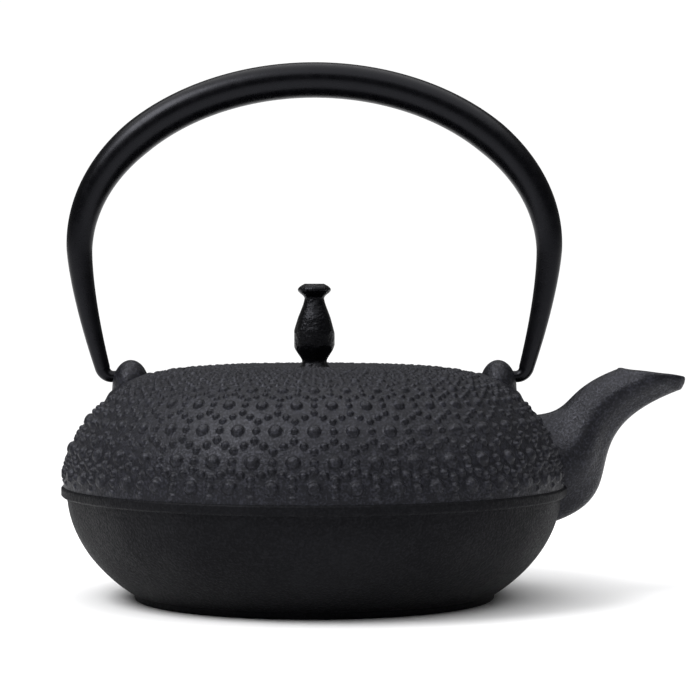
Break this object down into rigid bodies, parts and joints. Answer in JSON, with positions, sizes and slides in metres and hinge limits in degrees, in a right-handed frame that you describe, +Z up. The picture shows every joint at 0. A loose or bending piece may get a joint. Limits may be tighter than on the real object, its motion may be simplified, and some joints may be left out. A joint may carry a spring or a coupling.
{
  "type": "cast iron teapot",
  "caption": "Flat round black iron teapot with a hobnail upper half, flange, curved spout, lift-off lid with bud knob, swinging bail handle and lift-out strainer.",
  "frame": {"origin": "middle of the foot ring, on the face it stands on", "axes": "+Z up along the pot's own axis of revolution, +X towards the spout; the bail stands in the XZ plane"},
  "size_m": [0.2142, 0.173, 0.1835],
  "materials": {
    "cast_iron_body": "matte black, fine sand-cast grain, hobnail relief above the flange",
    "cast_iron_lid": "matte black, fine sand-cast grain, hobnail relief",
    "cast_iron_knob": "matte black, rough cast with soft facets",
    "washer_steel": "plain zinc grey",
    "bail_iron": "smooth satin black",
    "strainer_steel": "brushed stainless",
    "mesh_steel": "fine stainless mesh"
  },
  "bodies": {
    "pot": {"body": "cast_iron_body"},
    "bail": {"bail_handle": "bail_iron"},
    "strainer": {"strainer_rim": "strainer_steel", "strainer_mesh": "mesh_steel", "strainer_base": "strainer_steel"},
    "knob": {"lid_knob": "cast_iron_knob", "knob_washer": "washer_steel"},
    "lid": {"lid": "cast_iron_lid"}
  },
  "joints": [
    {"name": "bail_swing", "type": "hinge", "parent": "pot", "child": "bail", "pos_m": [0, 0, 0.0756], "axis": [1, 0, 0], "range_deg": [-118, 118]},
    {"name": "strainer_lift", "type": "slide", "parent": "pot", "child": "strainer", "axis": [0, 0, 1], "range_m": [0, 0.05]},
    {"name": "lid_lift", "type": "slide", "parent": "strainer", "child": "knob", "axis": [0, 0, 1], "range_m": [0, 0.05]},
    {"name": "lid_turn", "type": "hinge", "parent": "knob", "child": "lid", "pos_m": [0, 0, 0.076], "axis": [0, 0, 1], "continuous": true}
  ]
}
